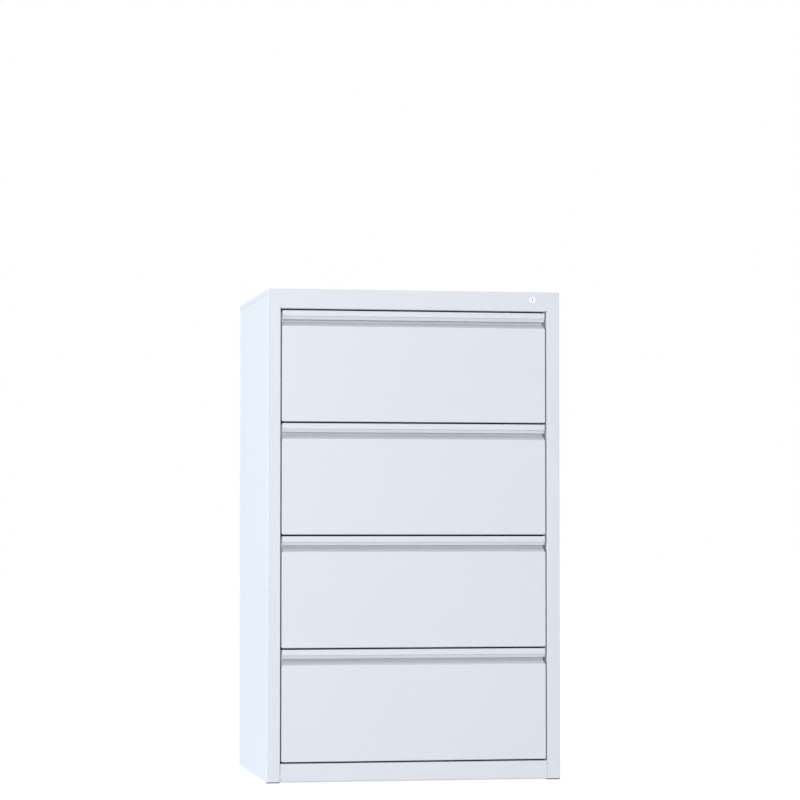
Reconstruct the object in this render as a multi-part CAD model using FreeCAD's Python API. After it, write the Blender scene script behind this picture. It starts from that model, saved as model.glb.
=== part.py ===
"""Four-drawer, double-width steel filing cabinet, in millimetres.

Frame: +X to the cabinet's right as seen from the front, the front faces -Y, +Z up.
The origin is on the floor, under the middle of the footprint.
Depths inside the cabinet are given as the distance behind the front plane.
"""
import FreeCAD, Part
import math
import os

Vec = FreeCAD.Vector

# ---- overall sizes -------------------------------------------------------------
WIDTH = 800.0
DEPTH = 622.0
HEIGHT = 1321.0
DRAWERS = 4

# ---- sheet metal ---------------------------------------------------------------
SHEET = 1.0                 # casing and drawer fronts
TRAY_SHEET = 0.8            # drawer trays
CHANNEL_SHEET = 1.5         # uprights and slide members
BEND = 1.5                  # radius of a fold, at the middle of the sheet

# ---- front frame ---------------------------------------------------------------
STILE_WIDTH = 35.5          # front fold of each side panel
STILE_RETURN = 25.0         # the stile's second fold, into the cabinet
REAR_RETURN = 20.0          # rear fold of each side panel
TOP_RAIL_HEIGHT = 53.0
RAIL_RETURN = 25.0          # depth of the top rail's and the plinth's upper fold
PLINTH_HEIGHT = 51.0
PLINTH_FOOT = 20.0          # depth of the plinth's lower fold
SEAM = 0.5                  # open seam between two panels that meet flush
TOP_EDGE = 14.0             # depth of the top panel's folded rim
BACKING_DROP = 16.0         # how far the strip behind that rim reaches down the side
FLANGE_START = 6.0          # inner flanges of a side panel, clear of its corner folds

# ---- gaps round the drawer fronts ----------------------------------------------
ROW_GAP = 4.5
SIDE_GAP = 3.5

# ---- drawer front --------------------------------------------------------------
CORNER_RADIUS = 4.5         # bottom corners of a front
EDGE_RADIUS = 1.8           # rounding of its pressed edges
RECESS_DEPTH = 27.0         # finger space behind the lip
LIP_HEIGHT = 15.0           # upright face of the grip
LIP_TURN_HEIGHT = 9.0       # turned-in lower edge of the grip
LIP_TURN_DEPTH = 7.5
RECESS_WALL = 29.0          # height of the recess's upright back wall, from the top
RECESS_HEIGHT = 42.3        # from the top of the front to the fold below the recess
LIP_END_TRIM = 1.6          # the lip stops this far inside the front's ends
RECESS_END_TRIM = 4.5       # and the recess this far
LINER_RIM = 8.0

# ---- drawer tray ---------------------------------------------------------------
TRAY_FLOOR = 20.0           # tray floor above the front's bottom edge
TRAY_SIDE = 238.0           # height of the tray's sides
TRAY_HEM = 8.0
BACK_FLANGE = 12.0
BUFFER_LENGTH = 14.0        # rubber buffer and its clearance, behind the tray
BUFFER_RADIUS = 8.0
BUFFER_INSET = 60.0
CLEARANCE = 0.3             # between faces that slide or nearly touch

# ---- hanging-file rails --------------------------------------------------------
FILE_RAIL_WIDTH = 3.0
FILE_RAIL_HEIGHT = 15.0
FILE_RAIL_PROUD = 6.0       # rail above the tray's sides
CENTRE_RAIL_WIDTH = 8.0

# ---- telescopic slides ---------------------------------------------------------
SLIDE_THICKNESS = 12.7
SLIDE_HEIGHT = 46.0
SLIDE_FRONT_GAP = 7.0       # front end of a slide behind the drawer's front box
SLIDE_REAR_GAP = 7.0        # its rear end in front of the rear upright's back
SLIDE_CENTRE = 80.0         # above the front's bottom edge

# ---- uprights and base ---------------------------------------------------------
UPRIGHT_DEPTH = 40.0
UPRIGHT_BAR_GAP = 10.0          # front uprights behind the locking bar
REAR_UPRIGHT_SETBACK = 22.0     # from the back panel
BASE_DROP = 4.0                 # base pan below the plinth's top
BASE_FLANGE = 26.0

# ---- feet ----------------------------------------------------------------------
FOOT_HEIGHT = 2.7
FOOT_RADIUS = 17.0
FOOT_SIDE_INSET = 30.0      # foot centre from the side
STEM_RADIUS = 4.0
STEM_LENGTH = 34.0
FLOOR_FLANGE = 20.0         # bottom fold of each side panel
BRACKET_SIZE = 58.0
BRACKET_THICKNESS = 3.0
BRACKET_MARGIN = 2.0        # bracket behind the stile's return
STEM_CLEARANCE = 0.1
CAP_MARGIN = 0.5            # glide cap inside the stile's outline
CAP_SPIGOT_HEIGHT = 8.0
CAP_SPIGOT_PLAY = 1.5       # spigot inside the stile's folds

# ---- lock ----------------------------------------------------------------------
LOCK_FROM_SIDE = 74.0
LOCK_BELOW_TOP = 21.0
LOCK_FACE_RADIUS = 9.8
LOCK_PROUD = 1.0
LOCK_BODY_RADIUS = 9.0
LOCK_BODY_LENGTH = 20.0
LOCK_CORE_RADIUS = 6.0
CORE_CLEARANCE = 0.05
HOLE_CLEARANCE = 0.2
KEYWAY_WIDTH = 1.6
KEYWAY_HEIGHT = 7.0
KEYWAY_DEPTH = 9.0
NUT_RADIUS = 13.0
NUT_THICKNESS = 5.0
CAM_THICKNESS = 3.0
CAM_BAR_GAP = 2.0
CRANK_RADIUS = 10.0
CRANK_START = -45.0         # degrees from +X; a quarter turn of the key takes it to +45
PIN_RADIUS = 2.5
PIN_CLEARANCE = 0.45        # the pin's path is an arc and the bar's is straight
PIN_END = 3.0               # pin past the bar
ARM_MARGIN = 6.0

# ---- locking bar ---------------------------------------------------------------
BAR_WIDTH = 12.0
BAR_THICKNESS = 3.0
BAR_FRONT_GAP = 3.0         # bar behind the drawers' front boxes
BAR_FROM_STILE = 5.5
HOOK_HEIGHT = 10.0
HOOK_REACH = 8.5            # hook past the stile's inner face
CATCH_HEIGHT_UP = 150.0     # catch centre above the front's bottom edge
CATCH_HEIGHT = 10.0
CATCH_SIDE_GAP = 3.5        # tongue inside the stile's inner face
CATCH_GAP = 3.0             # catch behind a hook that is raised
CATCH_THICKNESS = 1.5
CATCH_FOOT = 22.0
GUIDE_WALL = 3.2
GUIDE_HEIGHT = 20.0
GUIDE_ABOVE_HOOK = 60.0

# ---- back-panel screws ---------------------------------------------------------
SCREW_RADIUS = 4.0
SCREW_HEAD = 1.2
SCREW_SHANK_RADIUS = 1.8
SCREW_SHANK = 8.0
SIDE_SCREWS = 5
SCREW_END_MARGIN = 60.0

# ---- worked-out sizes ----------------------------------------------------------
HALF_WIDTH = WIDTH / 2
FRONT_Y = -DEPTH / 2
STILE_X = HALF_WIDTH - STILE_WIDTH              # edge of the drawer opening
OPENING_TOP = HEIGHT - TOP_RAIL_HEIGHT
PITCH = (OPENING_TOP - PLINTH_HEIGHT - ROW_GAP) / DRAWERS
FRONT_HEIGHT = PITCH - ROW_GAP
FRONT_HALF = STILE_X - SIDE_GAP
SKIN_DEPTH = RECESS_DEPTH + SHEET               # front box, without its liner
BOX_DEPTH = SKIN_DEPTH + SHEET
FLAT_X = STILE_X + BEND + SHEET / 2             # where the stile's flat face starts
RIM_BOTTOM = HEIGHT - TOP_EDGE
BACK_FACE = DEPTH - 2 * SHEET                   # inner face of the back panel
TRAY_REAR = BACK_FACE - BUFFER_LENGTH
TRAY_HALF = STILE_X - SLIDE_THICKNESS
BASE_TOP = PLINTH_HEIGHT - BASE_DROP
ROOF = HEIGHT - SHEET                           # underside of the top panel
FOOT_INSET = STILE_RETURN + BRACKET_MARGIN + BRACKET_SIZE / 2      # from the front and the back
LOCK_X = HALF_WIDTH - LOCK_FROM_SIDE
LOCK_Z = HEIGHT - LOCK_BELOW_TOP
BAR_X = STILE_X + BAR_FROM_STILE
BAR_SETBACK = BOX_DEPTH + BAR_FRONT_GAP
BAR_BACK = BAR_SETBACK + BAR_THICKNESS
LOCK_CORE_LENGTH = BAR_SETBACK - CAM_BAR_GAP - CAM_THICKNESS
FRONT_UPRIGHT_SETBACK = BAR_BACK + UPRIGHT_BAR_GAP
SLIDE_SETBACK = BOX_DEPTH + SLIDE_FRONT_GAP
SLIDE_LENGTH = BACK_FACE - REAR_UPRIGHT_SETBACK - SLIDE_REAR_GAP - SLIDE_SETBACK
LOCK_THROW = 2 * CRANK_RADIUS * math.sin(math.radians(-CRANK_START))


def front_bottom(number):
    """Height of the bottom edge of a drawer front; number 1 is the top drawer."""
    return OPENING_TOP - number * PITCH


# ---- building blocks -----------------------------------------------------------
def block(x, back, z):
    """Box between two x, two depths behind the front plane and two heights."""
    size = (abs(x[1] - x[0]), abs(back[1] - back[0]), abs(z[1] - z[0]))
    return Part.makeBox(*size, Vec(min(x), FRONT_Y + min(back), min(z)))


def rod(x, z, radius, back):
    """Cylinder along the depth."""
    length = back[1] - back[0]
    return Part.makeCylinder(radius, length, Vec(x, FRONT_Y + back[0], z), Vec(0, 1, 0))


def post(x, back, radius, z):
    """Upright cylinder."""
    return Part.makeCylinder(radius, z[1] - z[0], Vec(x, FRONT_Y + back, z[0]))


def fuse(shapes):
    """One solid of several that touch or overlap."""
    first, *rest = shapes
    return first.multiFuse(rest).removeSplitter() if rest else first


def mirrored(shape):
    """The same shape on the cabinet's other side."""
    return shape.mirror(Vec(0, 0, 0), Vec(1, 0, 0))


def pair(shape):
    """A right-hand shape and its left-hand twin, as separate solids."""
    return [shape, mirrored(shape)]


def plan(point, height=0.0):
    """Point of a plan section, given as x and depth behind the front plane."""
    return Vec(point[0], FRONT_Y + point[1], height)


def side_view(point, x=0.0):
    """Point of a section seen from the side, given as depth and height."""
    return Vec(x, FRONT_Y + point[0], point[1])


def front_view(point, back=0.0):
    """Point of a section seen from the front, given as x and height."""
    return Vec(point[0], FRONT_Y + back, point[1])


def unit(start, end):
    """Direction from one 2-D point to another."""
    run = math.hypot(end[0] - start[0], end[1] - start[1])
    return (end[0] - start[0]) / run, (end[1] - start[1]) / run


def sheet_side(path, offset, bend):
    """Lines and arcs along one face of a folded sheet, at an offset left of its middle."""
    stretches = []
    lead = unit(path[0], path[1])
    start = (path[0][0] - lead[1] * offset, path[0][1] + lead[0] * offset)
    for before, corner, after in zip(path, path[1:], path[2:]):
        inward, outward = unit(before, corner), unit(corner, after)
        cross = inward[0] * outward[1] - inward[1] * outward[0]
        dot = inward[0] * outward[0] + inward[1] * outward[1]
        turn = math.copysign(1.0, cross)
        tangent = bend * math.tan(math.atan2(abs(cross), dot) / 2)
        centre = (corner[0] - inward[0] * tangent - turn * inward[1] * bend,
                  corner[1] - inward[1] * tangent + turn * inward[0] * bend)
        radius = bend - turn * offset
        arc_start = (corner[0] - inward[0] * tangent - inward[1] * offset,
                     corner[1] - inward[1] * tangent + inward[0] * offset)
        arc_end = (corner[0] + outward[0] * tangent - outward[1] * offset,
                   corner[1] + outward[1] * tangent + outward[0] * offset)
        middle = unit(centre, corner)
        arc_middle = (centre[0] + middle[0] * radius, centre[1] + middle[1] * radius)
        stretches.append((start, arc_start))
        stretches.append((arc_start, arc_middle, arc_end))
        start = arc_end
    trail = unit(path[-2], path[-1])
    end = (path[-1][0] - trail[1] * offset, path[-1][1] + trail[0] * offset)
    stretches.append((start, end))
    return stretches


def edge(points, view):
    """Straight or arc edge through two or three 2-D points."""
    placed = [view(point) for point in points]
    return Part.LineSegment(*placed).toShape() if len(placed) == 2 else Part.Arc(*placed).toShape()


def folded_sheet(path, thickness, view, span, bend=BEND):
    """Sheet bent along a path through its middle, drawn in a view and drawn out by a span."""
    left = sheet_side(path, thickness / 2, bend)
    right = sheet_side(path, -thickness / 2, bend)
    outline = left + [(left[-1][-1], right[-1][-1])]
    outline += [points[::-1] for points in reversed(right)]
    outline += [(right[0][0], left[0][0])]
    face = Part.Face(Part.Wire([edge(points, view) for points in outline]))
    return face.extrude(span)


def plate(points, view, span):
    """Flat plate with a straight-sided outline, drawn out by a span."""
    placed = [view(point) for point in points]
    return Part.Face(Part.makePolygon(placed + placed[:1])).extrude(span)


# ---- casing --------------------------------------------------------------------
def side_panel():
    """Right side: outer sheet, stile with its return, rear return and floor flange."""
    half = SHEET / 2
    path = [(STILE_X + half, STILE_RETURN), (STILE_X + half, half), (HALF_WIDTH - half, half),
            (HALF_WIDTH - half, DEPTH - half), (HALF_WIDTH - REAR_RETURN, DEPTH - half)]
    shell = folded_sheet(path, SHEET, lambda p: plan(p, FOOT_HEIGHT),
                         Vec(0, 0, HEIGHT - FOOT_HEIGHT))
    inner = HALF_WIDTH - SHEET
    beyond = HALF_WIDTH + SHEET
    rim_seat = block((HALF_WIDTH - REAR_RETURN - SHEET, beyond), (BEND + half, DEPTH + SHEET),
                     (RIM_BOTTOM - SEAM, HEIGHT + SHEET))
    rail_seat = block((STILE_X - SHEET, FLAT_X), (-SHEET, STILE_RETURN + SHEET),
                      (OPENING_TOP, HEIGHT + SHEET))
    shell = shell.cut(Part.makeCompound([rim_seat, rail_seat]))
    backing = block((inner - SHEET, inner), (FLANGE_START, DEPTH - FLANGE_START),
                    (RIM_BOTTOM - BACKING_DROP, ROOF - BEND))
    floor_flange = block((inner - FLOOR_FLANGE, inner), (FLANGE_START, BACK_FACE - SEAM),
                         (FOOT_HEIGHT, FOOT_HEIGHT + SHEET))
    return fuse([shell, backing, floor_flange])


def top_panel():
    """Top sheet with a rim folded down at both sides and the back."""
    half = SHEET / 2
    path = [(-HALF_WIDTH + half, RIM_BOTTOM), (-HALF_WIDTH + half, HEIGHT - half),
            (HALF_WIDTH - half, HEIGHT - half), (HALF_WIDTH - half, RIM_BOTTOM)]
    sheet = folded_sheet(path, SHEET, lambda p: front_view(p, BEND + half),
                         Vec(0, DEPTH - BEND - half, 0))
    rear_rim = block((-HALF_WIDTH + SHEET, HALF_WIDTH - SHEET), (DEPTH - SHEET, DEPTH),
                     (RIM_BOTTOM, ROOF))
    front_tongue = block((-HALF_WIDTH + BEND + half, HALF_WIDTH - BEND - half),
                         (SHEET, BEND + half), (ROOF, HEIGHT))
    return fuse([sheet, rear_rim, front_tongue])


def top_rail():
    """Rail over the drawers, welded flush between the stiles, with the lock's hole."""
    half = SHEET / 2
    face = block((-FLAT_X, FLAT_X), (0, SHEET), (OPENING_TOP, HEIGHT))
    path = [(half, OPENING_TOP + STILE_RETURN), (half, OPENING_TOP + half),
            (RAIL_RETURN, OPENING_TOP + half)]
    fold = folded_sheet(path, SHEET, lambda p: side_view(p, -STILE_X), Vec(2 * STILE_X, 0, 0))
    corner = block((-STILE_X, STILE_X), (-SHEET, SHEET), (OPENING_TOP, OPENING_TOP + BEND + half))
    hole = rod(LOCK_X, LOCK_Z, LOCK_BODY_RADIUS + HOLE_CLEARANCE, (-SHEET, 2 * SHEET))
    return fuse([face.cut(corner), fold]).cut(hole)


def plinth_rail():
    """Kick rail under the drawers, folded back at its top and its foot."""
    half = SHEET / 2
    length = 2 * (STILE_X - SEAM)
    path = [(RAIL_RETURN, PLINTH_HEIGHT - half), (half, PLINTH_HEIGHT - half),
            (half, FOOT_HEIGHT + half), (PLINTH_FOOT, FOOT_HEIGHT + half)]
    return folded_sheet(path, SHEET, lambda p: side_view(p, -length / 2), Vec(length, 0, 0))


def back_panel():
    """Flat back sheet behind the side panels' rear returns."""
    side = HALF_WIDTH - SHEET - BEND
    return block((-side, side), (BACK_FACE, BACK_FACE + SHEET),
                 (FOOT_HEIGHT + SHEET + SEAM, ROOF - SHEET))


def base_pan():
    """Bottom sheet with its four edges folded down."""
    side = HALF_WIDTH - SHEET
    front = RAIL_RETURN + 2 * SHEET
    whole = block((-side, side), (front, BACK_FACE), (BASE_TOP - BASE_FLANGE, BASE_TOP))
    hollow = block((-side + SHEET, side - SHEET), (front + SHEET, BACK_FACE - SHEET),
                   (BASE_TOP - BASE_FLANGE - SHEET, BASE_TOP - SHEET))
    return whole.cut(hollow)


def upright(front):
    """Right-hand channel that carries the slides, from the base pan to the top panel."""
    half = CHANNEL_SHEET / 2
    outer = HALF_WIDTH - 2 * SHEET
    back = front + UPRIGHT_DEPTH
    path = [(outer, front + half), (STILE_X + half, front + half),
            (STILE_X + half, back - half), (outer, back - half)]
    return folded_sheet(path, CHANNEL_SHEET, lambda p: plan(p, BASE_TOP),
                        Vec(0, 0, ROOF - BASE_TOP))


# ---- feet ----------------------------------------------------------------------
def foot_places():
    """X and depth of each foot."""
    side = HALF_WIDTH - FOOT_SIDE_INSET
    return [(x, back) for x in (-side, side) for back in (FOOT_INSET, DEPTH - FOOT_INSET)]


def glide_cap(sign):
    """Plastic cap under a stile's end, with a spigot that plugs into the stile."""
    inner = STILE_X + SHEET + CAP_SPIGOT_PLAY
    outer = HALF_WIDTH - SHEET - FLOOR_FLANGE - CAP_MARGIN
    plate = block((sign * (STILE_X + CAP_MARGIN), sign * (HALF_WIDTH - CAP_MARGIN)),
                  (CAP_MARGIN, STILE_RETURN - CAP_MARGIN), (0, FOOT_HEIGHT))
    spigot = block((sign * inner, sign * outer),
                   (SHEET + CAP_SPIGOT_PLAY, STILE_RETURN - CAP_SPIGOT_PLAY),
                   (FOOT_HEIGHT, FOOT_HEIGHT + CAP_SPIGOT_HEIGHT))
    return fuse([plate, spigot])


def levelling_feet():
    """Four plastic pads, each moulded on its threaded stem, and the stiles' two glide caps."""
    pad_top = FOOT_HEIGHT
    pads = [fuse([post(x, back, FOOT_RADIUS, (0, pad_top)),
                  post(x, back, STEM_RADIUS, (pad_top, pad_top + STEM_LENGTH))])
            for x, back in foot_places()]
    return pads + [glide_cap(sign) for sign in (-1, 1)]


def foot_brackets():
    """Four corner plates that the stems screw through."""
    bottom = FOOT_HEIGHT + SHEET
    span = (bottom, bottom + BRACKET_THICKNESS)
    inner = HALF_WIDTH - SHEET
    hole_radius = STEM_RADIUS + STEM_CLEARANCE
    brackets = []
    for x, back in foot_places():
        sides = sorted((math.copysign(inner, x), math.copysign(inner - BRACKET_SIZE, x)))
        depths = (back - BRACKET_SIZE / 2, back + BRACKET_SIZE / 2)
        hole = post(x, back, hole_radius, (bottom - SHEET, span[1] + SHEET))
        brackets.append(block(sides, depths, span).cut(hole))
    return brackets


# ---- drawer front --------------------------------------------------------------
def grip(top):
    """Full-width grip: turned-in lip, top fold and the back wall of the finger recess."""
    half = SHEET / 2
    lip_x = FRONT_HALF - LIP_END_TRIM
    wall_x = FRONT_HALF - RECESS_END_TRIM
    path = [(LIP_TURN_DEPTH, top - LIP_HEIGHT - LIP_TURN_HEIGHT), (half, top - LIP_HEIGHT),
            (half, top - half), (RECESS_DEPTH + half, top - half),
            (RECESS_DEPTH + half, top - RECESS_WALL - SHEET)]
    whole = folded_sheet(path, SHEET, lambda p: side_view(p, -lip_x), Vec(2 * lip_x, 0, 0))
    trims = [block((wall_x, lip_x + SHEET), (RECESS_DEPTH - 2 * BEND, SKIN_DEPTH + SHEET),
                   (top - RECESS_HEIGHT, top - SHEET)),
             block((-wall_x, -lip_x - SHEET), (RECESS_DEPTH - 2 * BEND, SKIN_DEPTH + SHEET),
                   (top - RECESS_HEIGHT, top - SHEET))]
    return whole.cut(Part.makeCompound(trims))


def front_pan(bottom, top):
    """Pressed front below the grip, open at the back; its sloped top is the recess's floor."""
    fold, wall = top - RECESS_HEIGHT, top - RECESS_WALL
    outline = [(0, bottom), (SKIN_DEPTH, bottom), (SKIN_DEPTH, wall), (0, fold)]
    outer = plate(outline, lambda p: side_view(p, -FRONT_HALF), Vec(2 * FRONT_HALF, 0, 0))
    bottom_corners = [e for e in outer.Edges if is_depth_edge(e, bottom)]
    outer = outer.makeFillet(CORNER_RADIUS, bottom_corners)
    outer = outer.makeFillet(EDGE_RADIUS, [e for e in outer.Edges if lies_in_front(e)])
    slope = math.atan2(wall - fold, SKIN_DEPTH)
    inner_fold = fold - SHEET / math.cos(slope) + SHEET * math.tan(slope)
    inner_wall = wall + SHEET * math.tan(slope) - SHEET / math.cos(slope)
    inside = [(SHEET, bottom + SHEET), (SKIN_DEPTH + SHEET, bottom + SHEET),
              (SKIN_DEPTH + SHEET, inner_wall), (SHEET, inner_fold)]
    hollow = plate(inside, lambda p: side_view(p, -FRONT_HALF + SHEET),
                   Vec(2 * (FRONT_HALF - SHEET), 0, 0))
    hollow = hollow.makeFillet(CORNER_RADIUS - SHEET,
                               [e for e in hollow.Edges if is_depth_edge(e, bottom + SHEET)])
    return outer.cut(hollow)


def is_depth_edge(line, height):
    """Whether an edge runs along the depth at a height."""
    low, high = line.BoundBox.ZMin, line.BoundBox.ZMax
    return abs(low - height) < 1e-6 and abs(high - height) < 1e-6 and line.BoundBox.XLength < 1e-6


def lies_in_front(line):
    """Whether an edge lies in the front plane."""
    return abs(line.BoundBox.YMin - FRONT_Y) < 1e-6 and line.BoundBox.YLength < 1e-6


def end_notches(top):
    """Slanted cut-outs at both ends of the recess's floor."""
    fold = top - RECESS_HEIGHT
    reach = FRONT_HALF - RECESS_END_TRIM
    beyond = FRONT_HALF + SHEET
    corner = [(FRONT_HALF, fold), (reach, top - RECESS_WALL), (reach, top), (beyond, top),
              (beyond, fold)]
    notch = plate(corner, lambda p: front_view(p, -SHEET), Vec(0, SKIN_DEPTH + 2 * SHEET, 0))
    return Part.makeCompound(pair(notch))


def drawer_front(number):
    """Outer skin of a drawer front: one pressing with its grip."""
    bottom = front_bottom(number)
    top = bottom + FRONT_HEIGHT
    pan = front_pan(bottom, top).cut(end_notches(top))
    return fuse([pan, grip(top)])


def front_liner(number):
    """Sheet that closes the back of a front, its side rims tucked into the pan."""
    bottom = front_bottom(number) + SHEET + CLEARANCE
    top = front_bottom(number) + FRONT_HEIGHT - SHEET
    side = FRONT_HALF - SHEET - CLEARANCE
    face = block((-side, side), (SKIN_DEPTH, BOX_DEPTH), (bottom, top))
    rim_span = (front_bottom(number) + 2 * CORNER_RADIUS, top - RECESS_HEIGHT - LINER_RIM)
    rims = pair(block((side - SHEET, side), (SKIN_DEPTH - LINER_RIM, SKIN_DEPTH), rim_span))
    return fuse([face] + rims)


# ---- drawer tray ---------------------------------------------------------------
def tray(number):
    """Floor and both sides of a drawer in one folded sheet, hemmed outwards at the top."""
    half = TRAY_SHEET / 2
    floor = front_bottom(number) + TRAY_FLOOR
    side_top = floor + TRAY_SIDE
    side = TRAY_HALF - half
    path = [(-side - TRAY_HEM, side_top - half), (-side, side_top - half), (-side, floor + half),
            (side, floor + half), (side, side_top - half), (side + TRAY_HEM, side_top - half)]
    return folded_sheet(path, TRAY_SHEET, lambda p: front_view(p, BOX_DEPTH),
                        Vec(0, TRAY_REAR - BOX_DEPTH, 0))


def tray_back(number):
    """Back wall of a drawer, with side flanges inside the tray."""
    floor = front_bottom(number) + TRAY_FLOOR + TRAY_SHEET
    side_top = floor + TRAY_SIDE - 2 * TRAY_SHEET
    side = TRAY_HALF - TRAY_SHEET
    corner = BEND + TRAY_SHEET
    wall = block((-side + corner, side - corner), (TRAY_REAR - TRAY_SHEET, TRAY_REAR),
                 (floor, side_top))
    flanks = pair(block((side - corner, side), (TRAY_REAR - TRAY_SHEET, TRAY_REAR),
                        (floor + corner, side_top)))
    flanges = pair(block((side - TRAY_SHEET, side), (TRAY_REAR - BACK_FLANGE, TRAY_REAR),
                         (floor + corner, side_top - FILE_RAIL_HEIGHT)))
    return fuse([wall] + flanks + flanges)


def file_rails(number):
    """Three rails along the depth that two rows of hanging files hook over."""
    side_top = front_bottom(number) + TRAY_FLOOR + TRAY_SIDE
    span = (side_top + FILE_RAIL_PROUD - FILE_RAIL_HEIGHT, side_top + FILE_RAIL_PROUD)
    face = TRAY_HALF - TRAY_SHEET
    rear = TRAY_REAR - TRAY_SHEET
    side_rail = block((face - FILE_RAIL_WIDTH, face), (BOX_DEPTH, rear), span)
    half = CENTRE_RAIL_WIDTH / 2
    centre_rail = block((-half, half), (BOX_DEPTH, rear), span)
    return pair(side_rail) + [centre_rail]


def buffers(number):
    """Two rubber buffers behind the tray that meet the back panel."""
    height = front_bottom(number) + SLIDE_CENTRE
    x = TRAY_HALF - BUFFER_INSET
    return pair(rod(x, height, BUFFER_RADIUS, (TRAY_REAR, BACK_FACE - CLEARANCE)))


# ---- slides --------------------------------------------------------------------
def channel(number, web, flange_end, half_height):
    """Right-hand channel of a slide; web and flange end are distances from the upright."""
    centre = front_bottom(number) + SLIDE_CENTRE
    low, high = sorted((web, flange_end))
    outside = block((STILE_X - high, STILE_X - low), (SLIDE_SETBACK, SLIDE_SETBACK + SLIDE_LENGTH),
                    (centre - half_height, centre + half_height))
    wall = CHANNEL_SHEET if web < flange_end else -CHANNEL_SHEET
    inner = half_height - CHANNEL_SHEET
    hollow = block((STILE_X - web - wall, STILE_X - flange_end - wall),
                   (SLIDE_SETBACK - SHEET, SLIDE_SETBACK + SLIDE_LENGTH + SHEET),
                   (centre - inner, centre + inner))
    return outside.cut(hollow)


def slide_outer(number):
    """Cabinet members of a drawer's two slides, screwed to the uprights."""
    return pair(channel(number, 0, SLIDE_THICKNESS - CHANNEL_SHEET - CLEARANCE,
                        SLIDE_HEIGHT / 2))


def slide_middle(number):
    """Intermediate members, nested in the cabinet members."""
    step = CHANNEL_SHEET + CLEARANCE
    return pair(channel(number, step, SLIDE_THICKNESS - CHANNEL_SHEET - CLEARANCE,
                        SLIDE_HEIGHT / 2 - step))


def slide_inner(number):
    """Drawer members, fixed to the tray and nested in the intermediate members."""
    step = CHANNEL_SHEET + CLEARANCE
    return pair(channel(number, SLIDE_THICKNESS, 2 * step, SLIDE_HEIGHT / 2 - 2 * step))


# ---- lock ----------------------------------------------------------------------
def lock_housing():
    """Round lock body with its face, bored for the core."""
    face = rod(LOCK_X, LOCK_Z, LOCK_FACE_RADIUS, (-LOCK_PROUD, 0))
    body = rod(LOCK_X, LOCK_Z, LOCK_BODY_RADIUS, (0, LOCK_BODY_LENGTH))
    bore = rod(LOCK_X, LOCK_Z, LOCK_CORE_RADIUS + CORE_CLEARANCE,
               (-LOCK_PROUD, LOCK_BODY_LENGTH))
    return fuse([face, body]).cut(bore)


def lock_nut():
    """Hexagonal nut that clamps the lock to the rail from behind."""
    corners = [(LOCK_X + NUT_RADIUS * math.cos(math.radians(60 * k)),
                LOCK_Z + NUT_RADIUS * math.sin(math.radians(60 * k))) for k in range(6)]
    nut = plate(corners, lambda p: front_view(p, SHEET), Vec(0, NUT_THICKNESS, 0))
    return nut.cut(rod(LOCK_X, LOCK_Z, LOCK_BODY_RADIUS, (0, 2 * NUT_THICKNESS)))


def lock_core():
    """Turning cylinder of the lock, with its keyway."""
    core = rod(LOCK_X, LOCK_Z, LOCK_CORE_RADIUS, (-LOCK_PROUD, LOCK_CORE_LENGTH))
    keyway = block((LOCK_X - KEYWAY_WIDTH / 2, LOCK_X + KEYWAY_WIDTH / 2),
                   (-LOCK_PROUD - SHEET, KEYWAY_DEPTH),
                   (LOCK_Z - KEYWAY_HEIGHT / 2, LOCK_Z + KEYWAY_HEIGHT / 2))
    return core.cut(keyway)


def crank_point():
    """X and height of the crank pin with the lock open."""
    angle = math.radians(CRANK_START)
    return LOCK_X + CRANK_RADIUS * math.cos(angle), LOCK_Z + CRANK_RADIUS * math.sin(angle)


def lock_cam():
    """Cam plate on the back of the core, with the pin that lifts the locking bar."""
    x, z = crank_point()
    back = (LOCK_CORE_LENGTH, LOCK_CORE_LENGTH + CAM_THICKNESS)
    hub = rod(LOCK_X, LOCK_Z, LOCK_CORE_RADIUS, back)
    half_web = PIN_RADIUS + SHEET
    eye = rod(x, z, half_web, back)
    along = unit((LOCK_X, LOCK_Z), (x, z))
    across = (-along[1] * half_web, along[0] * half_web)
    corners = [(LOCK_X + across[0], LOCK_Z + across[1]), (x + across[0], z + across[1]),
               (x - across[0], z - across[1]), (LOCK_X - across[0], LOCK_Z - across[1])]
    web = plate(corners, lambda p: front_view(p, back[0]), Vec(0, CAM_THICKNESS, 0))
    pin = rod(x, z, PIN_RADIUS, (back[1], BAR_BACK + PIN_END))
    return fuse([hub, eye, web, pin])


def hook_centre(number):
    """Height of a hook's middle with the lock open, one throw below the drawer's catch."""
    return front_bottom(number) + CATCH_HEIGHT_UP - LOCK_THROW


def lock_bar():
    """Flat bar in the right-hand column: a hook for each drawer and a slotted arm for the pin."""
    back = (BAR_SETBACK, BAR_BACK)
    pin_x, pin_z = crank_point()
    arm_half = PIN_RADIUS + PIN_CLEARANCE + ARM_MARGIN
    bottom = hook_centre(DRAWERS) - HOOK_HEIGHT
    strip = block((BAR_X, BAR_X + BAR_WIDTH), back, (bottom, pin_z + arm_half))
    arm = block((pin_x - arm_half, BAR_X), back, (pin_z - arm_half, pin_z + arm_half))
    hooks = [block((STILE_X - HOOK_REACH, BAR_X), back,
                   (hook_centre(n) - HOOK_HEIGHT / 2, hook_centre(n) + HOOK_HEIGHT / 2))
             for n in range(1, DRAWERS + 1)]
    half_slot = PIN_RADIUS + PIN_CLEARANCE
    slot = block((pin_x - half_slot, LOCK_X + CRANK_RADIUS + half_slot),
                 (BAR_SETBACK - SHEET, BAR_BACK + SHEET), (pin_z - half_slot, pin_z + half_slot))
    return fuse([strip, arm] + hooks).cut(slot)


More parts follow.
